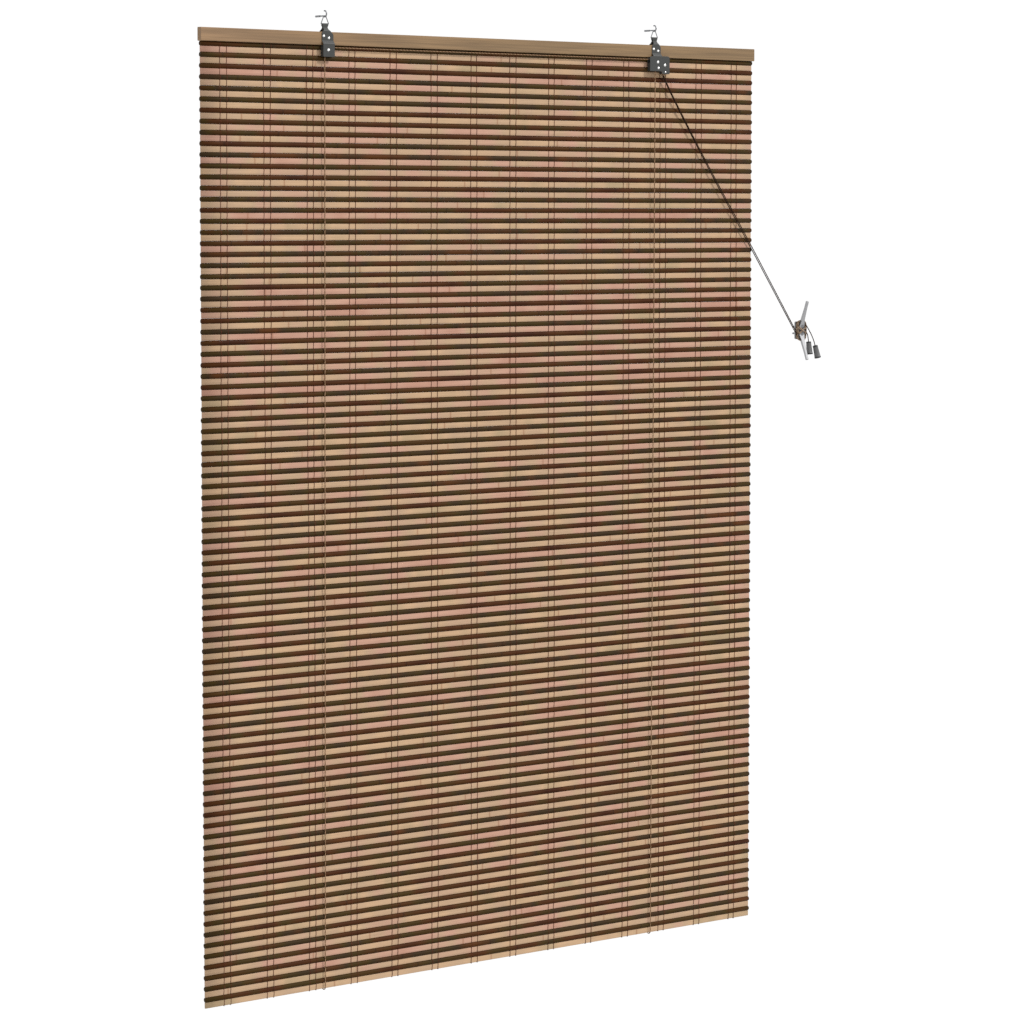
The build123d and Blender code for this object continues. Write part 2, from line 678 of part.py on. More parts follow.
# ---- Cleat: a base, a post and two horns that lean out into the room
CLEAT_SIDE = [
    (0, 12),
    (-7, 12),
    (-10, 17),
    (-24.5, 55),
    (-28, 53.5),
    (-14, 14),
    (-12, 8),
]
cleat_profile = CLEAT_SIDE + [(y, -z) for y, z in reversed(CLEAT_SIDE)]
HORN_SEEN = [(CLEAT_HALF, 0), (CLEAT_HALF, 9), (3.2, 20), (2.1, 42), (2.3, 58)]
horn_outline = HORN_SEEN + [(-x, z) for x, z in reversed(HORN_SEEN)]
horn_outline += [(-x, -z) for x, z in HORN_SEEN[1:]] + [(x, -z) for x, z in reversed(HORN_SEEN[1:])]
screw_heights = [CLEAT_Z + hand * CLEAT_SCREW_OUT for hand in (-1, 1)]
CLEAT_FRONT = 12.0

with BuildPart() as cleat:
    with BuildSketch(Plane.YZ.offset(CLEAT_X - 12)) as seen_from_side:
        with BuildLine():
            Polyline(*[(y, CLEAT_Z + z) for y, z in cleat_profile], close=True)
        make_face()
        fillet(seen_from_side.vertices().group_by(Axis.X)[0], 1.2)
    extrude(amount=24)
    with BuildSketch(Plane.XZ):
        with BuildLine():
            Polyline(*[(CLEAT_X + x, CLEAT_Z + z) for x, z in horn_outline], close=True)
        make_face()
    extrude(amount=40, mode=Mode.INTERSECT)
    with BuildSketch(Plane.XZ):
        with Locations((CLEAT_X, CLEAT_Z)):
            RectangleRounded(17, 33, 3)
    extrude(amount=2.5)
    for screw_z in screw_heights:
        with BuildSketch(Plane(origin=(CLEAT_X, 0, screw_z), x_dir=(0, -1, 0), z_dir=(1, 0, 0))):
            with BuildLine():
                shank = CLEAT_SCREW + SCREW_FIT
                head = SCREW_HEAD + SCREW_FIT
                Polyline(
                    (-1, 0),
                    (-1, shank),
                    (CLEAT_FRONT - head + shank, shank),
                    (CLEAT_FRONT, head),
                    (CLEAT_FRONT + 3, head),
                    (CLEAT_FRONT + 3, 0),
                    close=True,
                )
            make_face()
        revolve(axis=Axis((CLEAT_X, 0, screw_z), (0, 1, 0)), mode=Mode.SUBTRACT)
save(cleat, "cleat")

with BuildPart() as cleat_screws:
    for screw_z in screw_heights:
        with BuildSketch(Plane(origin=(CLEAT_X, 0, screw_z), x_dir=(0, -1, 0), z_dir=(1, 0, 0))):
            with BuildLine():
                Polyline(
                    (-SCREW_LENGTH, 0),
                    (-SCREW_LENGTH + 4, SCREW_THREAD),
                    (0, SCREW_THREAD),
                    (0, CLEAT_SCREW),
                    (CLEAT_FRONT - SCREW_HEAD + CLEAT_SCREW - SCREW_FIT, CLEAT_SCREW),
                    (CLEAT_FRONT - SCREW_FIT, SCREW_HEAD),
                    (CLEAT_FRONT - SCREW_FIT, 0),
                    close=True,
                )
            make_face()
        revolve(axis=Axis((CLEAT_X, 0, screw_z), (0, 1, 0)))
save(cleat_screws, "cleat_screws")

# ---- Winding: the outer shape of the cord's turns round the cleat's post, under its horns and across its front
with BuildPart() as cleat_winding:
    with BuildSketch(Plane.XZ.offset(2.8)):
        with Locations((CLEAT_X, CLEAT_Z)):
            Ellipse(WIND_X, WIND_Z)
    extrude(amount=10.2)
    with BuildSketch(Plane.XZ.offset(12.9)):
        with Locations((CLEAT_X, CLEAT_Z)):
            Ellipse(10.5, 11)
    extrude(amount=3.0)
    with BuildSketch(Plane.YZ.offset(CLEAT_X - CLEAT_HALF - WIND_FIT)):
        with BuildLine():
            post = [(-1, 12 + WIND_FIT), (-6.6, 12 + WIND_FIT), (-9.4, 18), (-30, 40), (-30, 18)]
            post += [(-14.3, 14), (-12 - WIND_FIT, 7.8), (-12 - WIND_FIT, 0)]
            hole = post + [(y, -z) for y, z in reversed(post[:-1])]
            Polyline(*[(y, CLEAT_Z + z) for y, z in hole], close=True)
        make_face()
    extrude(amount=2 * (CLEAT_HALF + WIND_FIT), mode=Mode.SUBTRACT)
save(cleat_winding, "cleat_winding")

# ---- Pull cords, from the lock to the winding, and the two free tails below it
REAR_PULL = [
    (CORD_EXIT[0], at(CORD_REAR), CORD_EXIT[1]),
    (CORD_TOWARDS[0], at(CORD_REAR), CORD_TOWARDS[1]),
    (493.0, -17.9, -255.5),
    (594.0, -17.3, -392.0),
    (713.5, -10.5, -551.5),
]
FRONT_PULL = [
    (CORD_EXIT[0], at(CORD_FRONT), CORD_EXIT[1]),
    (CORD_TOWARDS[0], at(CORD_FRONT), CORD_TOWARDS[1]),
    (494.2, -19.7, -255.0),
    (595.4, -19.1, -390.5),
    (714.8, -11.3, -550.0),
]
OUTER_TAIL = [
    (733.5, -14.5, -533.0),
    (739.5, -17.5, -544.0),
    (744.8, -19.8, -555.0),
    (749.0, -21.6, -567.0),
    (751.9, -22.4, -579.0),
]
INNER_TAIL = [
    (736.5, -9.5, -543.0),
    (739.3, -11.5, -548.5),
    (740.6, -12.8, -556.0),
    (741.3, -13.5, -564.0),
    (741.8, -14.0, -572.0),
]
for name, points in (("rear_pull_cord", REAR_PULL), ("front_pull_cord", FRONT_PULL)):
    save(make_tube(name, points, CORD), name)


# ---- Cord ends: tapered bells, each held by a knot inside
def make_cord_end(seat, run):
    with BuildPart() as bell:
        with BuildSketch(Plane(origin=seat, z_dir=run)):
            Circle(END_TOP)
        with BuildSketch(Plane(origin=seat + run * END_LENGTH, z_dir=run)):
            Circle(END_BOTTOM)
        loft()
        fillet(bell.edges().sort_by(lambda edge: (edge.center() - seat).length)[0], 0.8)
        with BuildSketch(Plane(origin=seat + run * 4, z_dir=run)):
            Circle(END_TOP - END_WALL)
        with BuildSketch(Plane(origin=seat + run * END_LENGTH, z_dir=run)):
            Circle(END_BOTTOM - END_WALL)
        loft(mode=Mode.SUBTRACT)
        with BuildSketch(Plane(origin=seat, z_dir=run)):
            Circle(CORD + RIVET_FIT)
        extrude(amount=5, mode=Mode.SUBTRACT)
    return bell


for name, points in (("inner", INNER_TAIL), ("outer", OUTER_TAIL)):
    run = (Vector(*points[-1]) - Vector(*points[-2])).normalized()
    seat = Vector(*points[-1]) - run * 7.5
    with BuildPart() as tail:
        add(make_tube(f"{name}_tail", points, CORD).part)
        with Locations(Vector(*points[-1])):
            Sphere(KNOT)
    save(tail, f"{name}_tail")
    save(make_cord_end(seat, run), f"{name}_cord_end")
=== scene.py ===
"""Looks for the bamboo roll-up blind: woven slats, rods and threads, twisted cords, materials, light and camera."""

import math

import bpy
import numpy as np
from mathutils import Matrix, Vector


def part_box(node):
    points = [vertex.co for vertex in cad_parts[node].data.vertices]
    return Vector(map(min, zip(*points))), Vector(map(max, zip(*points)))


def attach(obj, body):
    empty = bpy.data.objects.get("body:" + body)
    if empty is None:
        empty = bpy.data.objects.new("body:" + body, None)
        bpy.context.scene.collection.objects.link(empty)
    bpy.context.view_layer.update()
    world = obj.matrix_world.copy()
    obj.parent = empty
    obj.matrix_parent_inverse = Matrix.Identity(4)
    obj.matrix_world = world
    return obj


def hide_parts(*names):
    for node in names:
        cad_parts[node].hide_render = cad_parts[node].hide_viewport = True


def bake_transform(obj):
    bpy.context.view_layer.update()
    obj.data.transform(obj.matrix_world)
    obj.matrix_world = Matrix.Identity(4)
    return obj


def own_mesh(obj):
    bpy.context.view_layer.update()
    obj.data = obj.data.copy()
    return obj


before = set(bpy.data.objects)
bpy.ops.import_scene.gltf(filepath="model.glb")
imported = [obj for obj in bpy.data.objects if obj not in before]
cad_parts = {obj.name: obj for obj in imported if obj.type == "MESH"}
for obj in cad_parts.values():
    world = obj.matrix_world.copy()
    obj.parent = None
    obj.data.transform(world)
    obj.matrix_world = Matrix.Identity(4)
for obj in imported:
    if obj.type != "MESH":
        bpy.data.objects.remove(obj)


def write_size():
    """Updates the view layer."""
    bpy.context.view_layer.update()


write_size()
rng = np.random.default_rng(7)

MM = 0.001
ROWS = 88
CURLING = 5
UPPER = ROWS - CURLING
HANG = 13.0
SLAT_HEIGHT = 10.3
SLAT_THICK = 2.7
SLAT_EDGE = 0.5
ROD_DIAMETER = 7.4
# Drawn slats are lower and drawn rods larger than the CAD's, so that no background shows between the rows.
DRAWN_SLAT_HALF = 4.9
DRAWN_ROD_HALF = (4.0, 4.05)  # depth and height
STRAND_FRONT = 3.5  # lift cords in front of the hanging plane
STRAND_BACK = 6.5  # and behind it
FOOT_RISE = 14.0  # from the lowest slat's bottom up to where a front lift cord starts


# ---- Materials
DIM = 0.63  # matt surfaces stand in both the white world and the key light


def rgb(red, green, blue, dim=DIM):
    """Linear colour of an sRGB one, dimmed."""
    values = []
    for value in (red, green, blue):
        share = value / 255
        linear = share / 12.92 if share <= 0.04045 else ((share + 0.055) / 1.055) ** 2.4
        values.append(linear * dim)
    return (*values, 1.0)


class Shader:
    """A material's nodes, with short calls to add and join them."""

    def __init__(self, name, roughness, metallic=0.0, specular=0.5):
        self.material = bpy.data.materials.new(name)
        self.material.use_nodes = True
        self.tree = self.material.node_tree
        self.surface = self.tree.nodes["Principled BSDF"]
        self.surface.inputs["Roughness"].default_value = roughness
        self.surface.inputs["Metallic"].default_value = metallic
        self.surface.inputs["Specular IOR Level"].default_value = specular

    def add(self, kind, **values):
        node = self.tree.nodes.new(kind)
        for key, value in values.items():
            setattr(node, key, value)
        return node

    def join(self, source, target):
        self.tree.links.new(source, target)

    def colour(self, value):
        self.surface.inputs["Base Color"].default_value = value

    def noise(self, scale, detail=3.0, stretch=(1, 1, 1), offset=None):
        """Noise over the object's own place, stretched, and shifted by a socket if one is given."""
        place = self.add("ShaderNodeTexCoord")
        mapping = self.add("ShaderNodeMapping")
        mapping.inputs["Scale"].default_value = stretch
        self.join(place.outputs["Object"], mapping.inputs["Vector"])
        if offset is not None:
            self.join(offset, mapping.inputs["Location"])
        noise = self.add("ShaderNodeTexNoise")
        noise.inputs["Scale"].default_value = scale
        noise.inputs["Detail"].default_value = detail
        self.join(mapping.outputs["Vector"], noise.inputs["Vector"])
        return noise.outputs["Fac"]

    def ramp(self, factor, stops):
        ramp = self.add("ShaderNodeValToRGB")
        elements = ramp.color_ramp.elements
        while len(elements) < len(stops):
            elements.new(0.5)
        for element, (position, colour) in zip(elements, stops):
            element.position = position
            element.color = colour
        self.join(factor, ramp.inputs["Fac"])
        return ramp.outputs["Color"]

    def mix(self, one, two, factor, blend="MIX"):
        mix = self.add("ShaderNodeMix", data_type="RGBA", blend_type=blend)
        for socket, value in (("Factor", factor), ("A", one), ("B", two)):
            index = {"Factor": 0, "A": 6, "B": 7}[socket]
            if isinstance(value, bpy.types.NodeSocket):
                self.join(value, mix.inputs[index])
            else:
                mix.inputs[index].default_value = value
        return mix.outputs[2]

    def tint(self, colour):
        self.join(colour, self.surface.inputs["Base Color"])

    def bump(self, height, strength, distance):
        bump = self.add("ShaderNodeBump")
        bump.inputs["Strength"].default_value = strength
        bump.inputs["Distance"].default_value = distance
        self.join(height, bump.inputs["Height"])
        self.join(bump.outputs["Normal"], self.surface.inputs["Normal"])

    def soft_edges(self, radius):
        bevel = self.add("ShaderNodeBevel", samples=6)
        bevel.inputs["Radius"].default_value = radius
        self.join(bevel.outputs["Normal"], self.surface.inputs["Normal"])


def grain_material(name, stops, streak, roughness, knot_colour, specular=0.18):
    """Bamboo: a tone for each piece, drifting along its length, fibres along X, and darker knots."""
    shader = Shader(name, roughness, specular=specular)
    attribute = shader.add("ShaderNodeAttribute", attribute_name="tone")
    split = shader.add("ShaderNodeSeparateColor")
    shader.join(attribute.outputs["Color"], split.inputs["Color"])
    shift = shader.add("ShaderNodeCombineXYZ")
    scaled = shader.add("ShaderNodeMath", operation="MULTIPLY")
    scaled.inputs[1].default_value = 50.0
    shader.join(split.outputs["Green"], scaled.inputs[0])
    for axis in "XYZ":
        shader.join(scaled.outputs["Value"], shift.inputs[axis])
    drift = shader.noise(1.0, 2.5, (11.0, 0.0, 0.0), shift.outputs["Vector"])
    spread = shader.add("ShaderNodeMapRange")
    spread.inputs["From Min"].default_value = 0.3
    spread.inputs["From Max"].default_value = 0.7
    spread.inputs["To Min"].default_value = -0.4
    spread.inputs["To Max"].default_value = 0.4
    spread.clamp = False
    shader.join(drift, spread.inputs["Value"])
    total = shader.add("ShaderNodeMath", operation="ADD")
    total.use_clamp = True
    shader.join(split.outputs["Red"], total.inputs[0])
    shader.join(spread.outputs["Result"], total.inputs[1])
    base = shader.ramp(total.outputs["Value"], stops)
    fibres = shader.noise(1.0, 5.0, (14.0, 900.0, 900.0), shift.outputs["Vector"])
    dark, light = streak
    strands = shader.ramp(fibres, [(0.25, (dark, dark, dark, 1)), (0.75, (light, light, light, 1))])
    fibrous = shader.mix(base, strands, 1.0, "MULTIPLY")
    shader.tint(shader.mix(fibrous, knot_colour, split.outputs["Blue"]))
    shader.bump(fibres, 0.25, 0.0004)
    return shader.material


def metal(name, colour, roughness, edges=0.0, metallic=1.0):
    shader = Shader(name, roughness, metallic)
    shader.colour(colour)
    if edges:
        shader.soft_edges(edges)
    return shader.material


def cord_material(name, one, two):
    """Twisted cord: its strands carry their shade in the tone attribute, with fine fibres over it."""
    shader = Shader(name, 0.9, specular=0.08)
    attribute = shader.add("ShaderNodeAttribute", attribute_name="tone")
    base = shader.ramp(attribute.outputs["Fac"], [(0.0, one), (1.0, two)])
    fuzz = shader.noise(2600.0, 3.0)
    shade = shader.ramp(fuzz, [(0.3, (0.7, 0.7, 0.7, 1)), (0.7, (1.2, 1.2, 1.2, 1))])
    shader.tint(shader.mix(base, shade, 1.0, "MULTIPLY"))
    shader.bump(fuzz, 0.4, 0.0003)
    return shader.material


SLAT_STOPS = [
    (0.0, rgb(200, 152, 130)),
    (0.25, rgb(208, 163, 140)),
    (0.5, rgb(200, 168, 136)),
    (0.75, rgb(211, 175, 138)),
    (1.0, rgb(190, 164, 128)),
]
ROD_STOPS = [
    (0.0, rgb(62, 29, 8)),
    (0.3, rgb(80, 44, 14)),
    (0.55, rgb(68, 51, 15)),
    (0.75, rgb(60, 44, 24)),
    (1.0, rgb(90, 51, 18)),
]
slat_material = grain_material("slat", SLAT_STOPS, (0.84, 1.1), 0.55, rgb(150, 96, 66))
rod_material = grain_material("rod", ROD_STOPS, (0.72, 1.2), 0.6, rgb(40, 24, 14), 0.08)
thread_material = cord_material("thread", rgb(84, 42, 30), rgb(120, 66, 48))
lift_material = cord_material("lift_cord", rgb(116, 84, 60), rgb(186, 152, 118))
pull_material = cord_material("pull_cord", rgb(34, 23, 16), rgb(70, 50, 36))
wound_material = cord_material("wound_cord", rgb(112, 86, 66), rgb(196, 174, 150))
charcoal = metal("charcoal", rgb(50, 52, 50), 0.55, 0.0003, 0.0)
steel = metal("steel", rgb(128, 129, 131, 1.0), 0.34, 0.00015)
bright = metal("bright", rgb(240, 240, 238, 1.0), 0.3, 0.00015)
nickel = metal("nickel", rgb(160, 160, 161, 1.0), 0.4, 0.0004, 0.85)
black_plastic = metal("black_plastic", rgb(34, 34, 35), 0.4, 0.0, 0.0)
# Cord end's body: its own dark grey plastic drawn lighter, as a painted highlight.
painted_highlight_grey = metal("painted_highlight_grey", rgb(104, 104, 104), 0.38, 0.0, 0.0)


def rail_surface():
    shader = Shader("rail", 0.55, specular=0.35)
    place = shader.add("ShaderNodeTexCoord")
    split = shader.add("ShaderNodeSeparateXYZ")
    shader.join(place.outputs["Object"], split.inputs["Vector"])
    along = shader.add("ShaderNodeMapRange")
    along.inputs["From Min"].default_value = -0.62
    along.inputs["From Max"].default_value = 0.1
    shader.join(split.outputs["X"], along.inputs["Value"])
    base = shader.ramp(
        along.outputs["Result"], [(0.0, rgb(158, 127, 95)), (0.35, rgb(148, 119, 86)), (1.0, rgb(146, 119, 85))]
    )
    fibres = shader.noise(1.0, 6.0, (9.0, 420.0, 420.0))
    strands = shader.ramp(fibres, [(0.3, (0.78, 0.78, 0.78, 1)), (0.7, (1.14, 1.14, 1.14, 1))])
    patches = shader.noise(1.0, 2.0, (5.0, 10.0, 60.0))
    warm = shader.ramp(patches, [(0.35, (0.9, 0.88, 0.86, 1)), (0.65, (1.08, 1.05, 1.0, 1))])
    grained = shader.mix(base, strands, 1.0, "MULTIPLY")
    shader.tint(shader.mix(grained, warm, 1.0, "MULTIPLY"))
    shader.bump(fibres, 0.3, 0.0005)
    return shader.material


rail_material = rail_surface()


# ---- Meshes
def build(name, vertices, faces, material, body, tones=None, smooth=True):
    """Mesh object that rides on a body, if it names one, with a tone for each vertex."""
    mesh = bpy.data.meshes.new(name)
    mesh.from_pydata(vertices.tolist(), [], faces)
    mesh.materials.append(material)
    if tones is not None:
        attribute = mesh.color_attributes.new("tone", "FLOAT_COLOR", "POINT")
        attribute.data.foreach_set("color", tones.astype(np.float32).ravel())
    if smooth:
        mesh.shade_smooth()
    made = bpy.data.objects.new(name, mesh)
    bpy.context.collection.objects.link(made)
    if body:
        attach(made, body)
    return made


def ring_faces(rings, sides, start=0, caps=True):
    """Faces that join rings of vertices in a row, with a cap at each end."""
    faces = []
    for ring in range(rings - 1):
        low = start + ring * sides
        for side in range(sides):
            following = (side + 1) % sides
            faces.append((low + side, low + following, low + sides + following, low + sides + side))
    if caps:
        faces.append(tuple(start + side for side in reversed(range(sides))))
        faces.append(tuple(start + (rings - 1) * sides + side for side in range(sides)))
    return faces


def smooth_walk(places, reach, size):
    """Gentle random waviness along a length: one value for each place."""
    knots = np.arange(places.min() - reach, places.max() + 2 * reach, reach)
    values = rng.normal(0, size, len(knots))
    position = (places - knots[0]) / reach
    index = np.clip(position.astype(int), 0, len(knots) - 2)
    share = position - index
    share = share * share * (3 - 2 * share)
    return values[index] * (1 - share) + values[index + 1] * share


def bamboo_lengths(low, high, spacing):
    """Places along a piece, closer together round its knots, and how near each is to one."""
    knots = []
    place = low + rng.uniform(40, spacing)
    while place < high - 20:
        knots.append(place)
        place += spacing * rng.uniform(0.75, 1.25)
    places = list(np.linspace(low, high, 18))
    for knot in knots:
        places += [knot + step for step in (-4, -1.4, -0.5, 0.5, 1.4, 4)]
    places = np.array(sorted(p for p in places if low <= p <= high))
    near = np.zeros(len(places))
    for knot in knots:
        near = np.maximum(near, np.clip(1.6 - np.abs(places - knot), 0, 1))
    return places, near


def slat_section():
    """Slat's section, as depth and height from its middle: flat back, slightly crowned front, rounded edges."""
    half, thick, edge = DRAWN_SLAT_HALF, SLAT_THICK / 2, SLAT_EDGE
    crown, crown_half = 0.12, 1.8
    points = []
    for corner_y, corner_z, first in (
        (thick - edge, half - edge, 0),
        (-thick + edge, half - edge, 90),
        (-thick + edge, -half + edge, 180),
        (thick - edge, -half + edge, 270),
    ):
        for turn in (5, 45, 85):
            angle = math.radians(first + turn)
            points.append((corner_y + edge * math.cos(angle), corner_z + edge * math.sin(angle)))
    points.append((thick + crown, -crown_half))
    points.append((thick + crown, crown_half))
    return np.array(points)


def rod_section():
    """Rod's section, as depth and height from its middle."""
    deep, high = DRAWN_ROD_HALF
    angles = np.radians(np.arange(0, 360, 30))
    return np.stack([deep * np.cos(angles), high * np.sin(angles)], 1)


def woven_pieces(name, heights, low, high, section, depth, material, body, spacing, knot_size, replaced):
    """Bamboo pieces across the blind, each with its own tone, waviness and knots."""
    vertices, tones, faces, count = [], [], [], 0
    for height in heights:
        places, near = bamboo_lengths(low, high, spacing)
        rise = smooth_walk(places, 160, 0.03)
        out = smooth_walk(places, 210, 0.08)
        swell = 1 + smooth_walk(places, 90, 0.008) + knot_size * near
        tone = float(np.clip(rng.normal(0.5, 0.13), 0, 1))
        shift = rng.uniform()
        ring = np.zeros((len(places), len(section), 3))
        ring[:, :, 0] = places[:, None]
        ring[:, :, 1] = -(HANG + depth + out[:, None] + section[None, :, 0] * swell[:, None])
        ring[:, :, 2] = height + rise[:, None] + section[None, :, 1] * (1 + (swell[:, None] - 1) * 0.4)
        shade = np.ones((len(places), len(section), 4))
        shade[:, :, 0] = tone
        shade[:, :, 1] = shift
        shade[:, :, 2] = 0.55 * near[:, None]
        vertices.append(ring.reshape(-1, 3))
        tones.append(shade.reshape(-1, 4))
        faces += ring_faces(len(places), len(section), count)
        count += len(places) * len(section)
    made = build(name, np.concatenate(vertices) * MM, faces, material, body, np.concatenate(tones))
    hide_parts(*replaced)
    return made


def tube(path, radius, sides, tones, turn=0.0):
    """Ring vertices round a path of points, with the frame carried along it."""
    path = np.asarray(path, float)
    along = np.gradient(path, axis=0)
    along /= np.linalg.norm(along, axis=1)[:, None]
    side = np.zeros_like(path)
    first = np.cross(along[0], (0.0, 0.0, 1.0))
    if np.linalg.norm(first) < 0.2:
        first = np.cross(along[0], (0.0, 1.0, 0.0))
    side[0] = first / np.linalg.norm(first)
    for index in range(1, len(path)):
        carried = side[index - 1] - along[index] * np.dot(side[index - 1], along[index])
        side[index] = carried / np.linalg.norm(carried)
    up = np.cross(along, side)
    angles = 2 * np.pi * np.arange(sides) / sides + turn
    ring = path[:, None] + radius * (
        np.cos(angles)[None, :, None] * side[:, None] + np.sin(angles)[None, :, None] * up[:, None]
    )
    return ring, side, up, along


def resample(path, spacing):
    path = np.asarray(path, float)
    steps = np.concatenate([[0], np.cumsum(np.linalg.norm(np.diff(path, axis=0), axis=1))])
    count = max(3, int(steps[-1] / spacing) + 1)
    wanted = np.linspace(0, steps[-1], count)
    return np.stack([np.interp(wanted, steps, path[:, axis]) for axis in range(3)], 1), wanted


def twisted(name, paths, radius, lay, spacing, material, body, replaced=(), strands=3, sides=4, fill=0.56):
    """Cord of twisted strands along one or more paths, in millimetres."""
    vertices, tones, faces, count = [], [], [], 0
    strand = radius * fill
    for given in paths:
        path, lengths = resample(given, spacing)
        ring, side, up, along = tube(path, 0.0, 3, None)
        start = rng.uniform(0, 2 * np.pi)
        for index in range(strands):
            angle = start + 2 * np.pi * index / strands + 2 * np.pi * lengths / lay
            offset = (radius - strand) * (np.cos(angle)[:, None] * side + np.sin(angle)[:, None] * up)
            rings, _, _, _ = tube(path + offset, strand, sides, None)
            shade = np.ones((len(path), sides, 4))
            value = index / max(1, strands - 1)
            shade[:, :, :3] = np.clip(value * 0.8 + 0.1 + rng.normal(0, 0.08, (len(path), 1, 1)), 0, 1)
            vertices.append(rings.reshape(-1, 3))
            tones.append(shade.reshape(-1, 4))
            faces += ring_faces(len(path), sides, count)
            count += len(path) * sides
    made = build(name, np.concatenate(vertices) * MM, faces, material, body, np.concatenate(tones))
    if replaced:
        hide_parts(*replaced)
    return made


def node_box(name):
    low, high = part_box(name)
    return np.array(low) / MM, np.array(high) / MM


# ---- Woven panel
slat_low, slat_high = node_box("upper_slats")
rod_top = node_box("upper_rods")[1][2]
last_low = node_box(f"row_{CURLING}_slat")[0]
RAIL_LOW, RAIL_HIGH = node_box("headrail")
PITCH = (slat_high[2] - slat_low[2] - SLAT_HEIGHT) / (UPPER - 1)
LEFT, RIGHT = slat_low[0], slat_high[0]
PANEL_DEPTH = -(slat_low[1] + slat_high[1]) / 2 - HANG
slat_heights = [slat_high[2] - SLAT_HEIGHT / 2 - PITCH * row for row in range(ROWS)]
rod_heights = [rod_top - ROD_DIAMETER / 2 - PITCH * row for row in range(ROWS)]
UPPER_BOTTOM = slat_low[2]


def add_slats(name, heights, body, replaced):
    woven_pieces(
        name, heights, LEFT, RIGHT, slat_section(), PANEL_DEPTH, slat_material, body, 330, 0.05, [replaced]
    )


def add_rods(name, heights, body, replaced):
    woven_pieces(
        name, heights, LEFT, RIGHT, rod_section(), PANEL_DEPTH, rod_material, body, 240, 0.07, [replaced]
    )


add_slats("bamboo_slats", slat_heights[:UPPER], "blind", "upper_slats")
add_rods("bamboo_rods", rod_heights[:UPPER], "blind", "upper_rods")
for row in range(1, CURLING + 1):
    index = UPPER + row - 1
    add_slats(f"bamboo_slat_{row}", slat_heights[index : index + 1], f"row_{row}", f"row_{row}_slat")
    add_rods(f"bamboo_rod_{row}", rod_heights[index : index + 1], f"row_{row}", f"row_{row}_rod")

# ---- Warp threads: twined round every rod and slat
WARP_PAIRS = 14
WARP_EDGE = 43.0
WARP_GAP = 13.0
WARP_STEP = (RIGHT - LEFT - 2 * WARP_EDGE) / (WARP_PAIRS - 1)
WARPS = [LEFT + WARP_EDGE + pair * WARP_STEP + side * WARP_GAP / 2 for pair in range(WARP_PAIRS) for side in (-1, 1)]
# One row of weave, from its top: drop, depth in front of the panel's middle, sideways lean.
FRONT_WEAVE = (
    (0.2, 1.2, -0.45),
    (1.3, 3.2, -0.25),
    (3.8, 4.08, 0.0),
    (6.3, 3.2, 0.25),
    (7.5, 1.3, 0.45),
    (8.7, 1.72, 0.3),
    (13.0, 1.86, 0.0),
    (17.2, 1.72, -0.3),
)


def thread_paths(warps, top, rows, hand):
    paths = []
    for x in warps:
        wander = smooth_walk(np.arange(rows + 1.0), 9, 0.35)
        path = []
        for row in range(rows):
            for drop, depth, lean in FRONT_WEAVE:
                jitter = rng.normal(0, 0.06)
                y = -(HANG + PANEL_DEPTH + hand * depth)
                path.append((x + wander[row] + hand * lean + jitter, y, top - row * PITCH - drop))
        paths.append(np.array(path))
    return paths


def add_threads(name, paths, body, replaced=()):
    vertices, tones, faces, count = [], [], [], 0
    for path in paths:
        rings, _, _, _ = tube(path, 0.46, 5, None)
        shade = np.ones((len(path), 5, 4))
        shade[:, :, :3] = np.clip(0.4 + rng.normal(0, 0.25, (len(path), 1, 1)), 0, 1)
        vertices.append(rings.reshape(-1, 3))
        tones.append(shade.reshape(-1, 4))
        faces += ring_faces(len(path), 5, count)
        count += len(path) * 5
    made = build(
        name, np.concatenate(vertices) * MM, faces, thread_material, body, np.concatenate(tones)
    )
    if replaced:
        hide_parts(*replaced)


RAIL_BOTTOM = RAIL_LOW[2]
BACK_TOP = node_box("upper_threads")[1][2]
half = len(WARPS) // 2
add_threads("front_threads_left", thread_paths(WARPS[:half], RAIL_BOTTOM, UPPER, 1), "blind", ["upper_threads"])
add_threads("front_threads_right", thread_paths(WARPS[half:], RAIL_BOTTOM, UPPER, 1), "blind")
for label, warps in (("left", WARPS[:half]), ("right", WARPS[half:])):
    paths = thread_paths(warps, RAIL_BOTTOM, UPPER, -1)
    back = RAIL_HIGH[1] + 0.5
    joined = [np.concatenate([[(p[0, 0], back, BACK_TOP), (p[0, 0], back, RAIL_BOTTOM + 1)], p]) for p in paths]
    add_threads(f"back_threads_{label}", joined, "blind")
for row in range(1, CURLING + 1):
    top = UPPER_BOTTOM - (row - 1) * PITCH
    paths = thread_paths(WARPS, top, 1, 1) + thread_paths(WARPS, top, 1, -1)
    if row == CURLING:
        foot = top - PITCH
        for x in WARPS:
            front = -(HANG + PANEL_DEPTH + 1.75)
            rear = -(HANG + PANEL_DEPTH - 1.75)
            paths.append(
                np.array([(x, front, foot + 1.2), (x, front, foot - 0.3), (x, rear, foot - 0.3), (x, rear, foot + 1.2)])
            )
    add_threads(f"row_threads_{row}", paths, f"row_{row}", [f"row_{row}_threads"])

# ---- Cords
CORD = 1.0


def arc(middle, radius, start, end, depth, steps=14):
    """Points on an upright arc, in front of the hanging plane."""
    angles = np.radians(np.linspace(start, end, steps))
    x = middle[0] + radius * np.cos(angles)
    z = middle[1] + radius * np.sin(angles)
    return np.stack([x, np.full(steps, -(HANG + depth)), z], 1)


def wheel_middle(side):
    low, high = node_box(f"{side}_wheel")
    return ((low[0] + high[0]) / 2, (low[2] + high[2]) / 2)


